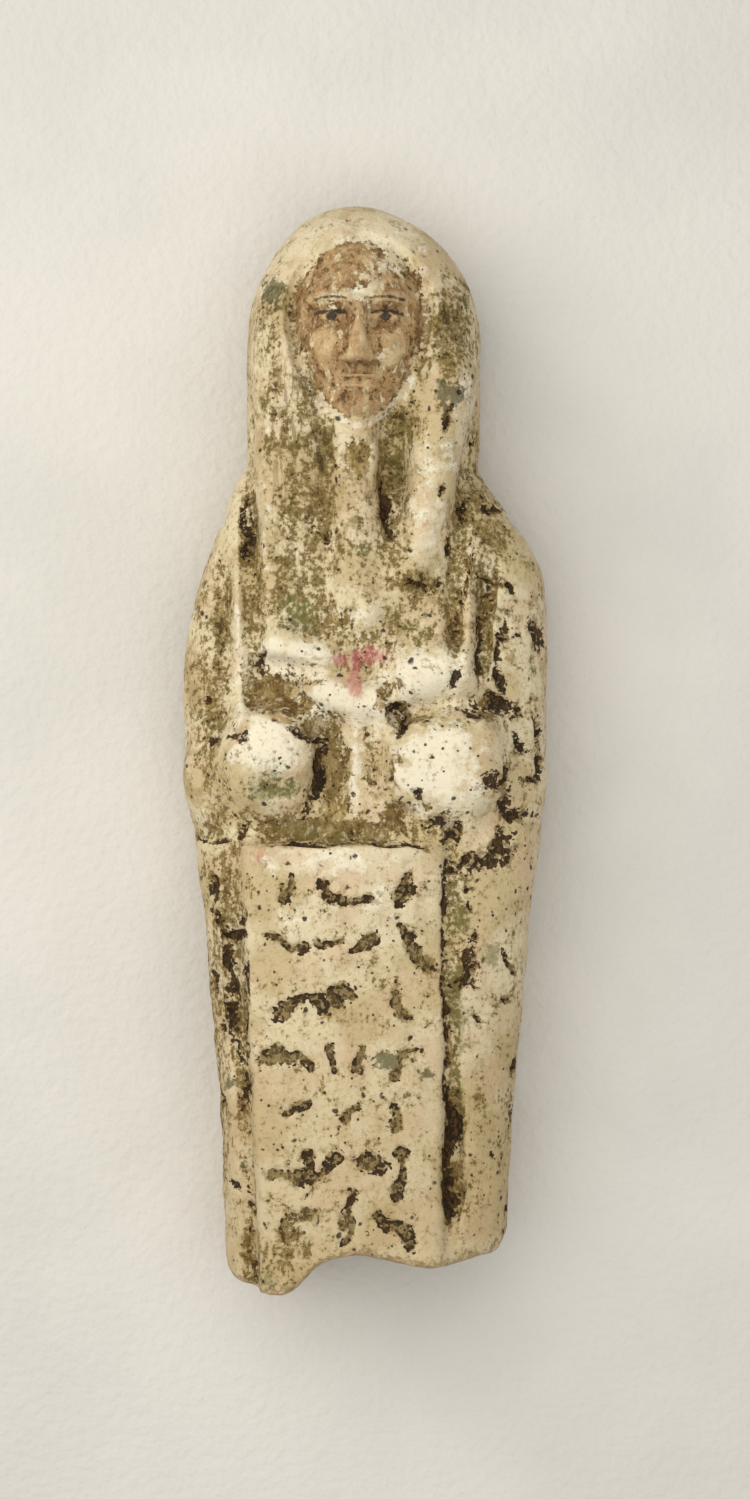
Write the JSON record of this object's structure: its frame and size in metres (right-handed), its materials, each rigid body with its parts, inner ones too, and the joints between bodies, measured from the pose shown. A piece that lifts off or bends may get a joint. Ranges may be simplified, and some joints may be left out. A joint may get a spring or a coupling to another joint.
{
  "type": "ushabti figurine",
  "caption": "Ancient Egyptian funerary figurine: long wig, arms held on the chest, raised apron panel with rows of strokes, broken at the lower end; lies on its back.",
  "frame": {"origin": "centre of the underside's bounding rectangle, on the plane that the figurine lies on", "axes": "+Y towards the head, +Z out of the figure's front, +X towards the viewer's right when looking down on the front"},
  "size_m": [0.0372, 0.11, 0.0211],
  "materials": {
    "worn_glazed_body": "worn cream-white glaze, pitted, brown core and soil in the hollows"
  },
  "bodies": {
    "root": {"ushabti_figure": "worn_glazed_body"}
  },
  "joints": []
}
